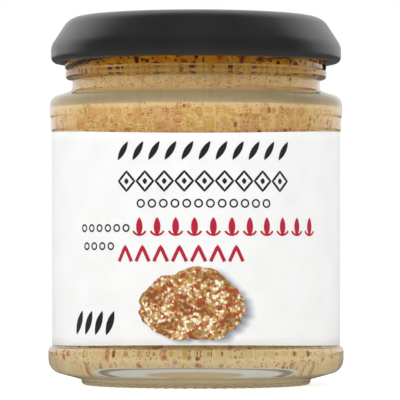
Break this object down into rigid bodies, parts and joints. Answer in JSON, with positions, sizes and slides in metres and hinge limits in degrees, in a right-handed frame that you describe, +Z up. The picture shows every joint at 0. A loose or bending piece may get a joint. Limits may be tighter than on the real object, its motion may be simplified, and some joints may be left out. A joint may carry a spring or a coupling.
{
  "type": "mustard jar",
  "caption": "Small round glass jar filled with wholegrain mustard, with a recessed wrap-round paper label and a black metal twist-off cap.",
  "frame": {"origin": "centre of the bearing ring the jar stands on, at table level", "axes": "+Z up along the jar's axis, from its base to its cap; the label's front faces -Y"},
  "size_m": [0.0676, 0.0676, 0.084],
  "materials": {
    "glass": "clear flint glass, smooth and glossy",
    "mustard": "creamy wholegrain paste, moist",
    "seed_red": "red-brown mustard seed, smooth",
    "seed_yellow": "yellow mustard seed, smooth",
    "bran": "crushed seed hull, dark flecks",
    "cap_black": "black lacquered steel, satin",
    "paper": "white coated label paper, soft sheen",
    "ink_black": "printed black",
    "ink_red": "printed crimson",
    "ink_mustard": "printed mustard browns, grainy"
  },
  "bodies": {
    "root": {"glass_jar": "glass", "mustard": "mustard", "lid": "cap_black", "label": "paper"}
  },
  "joints": []
}
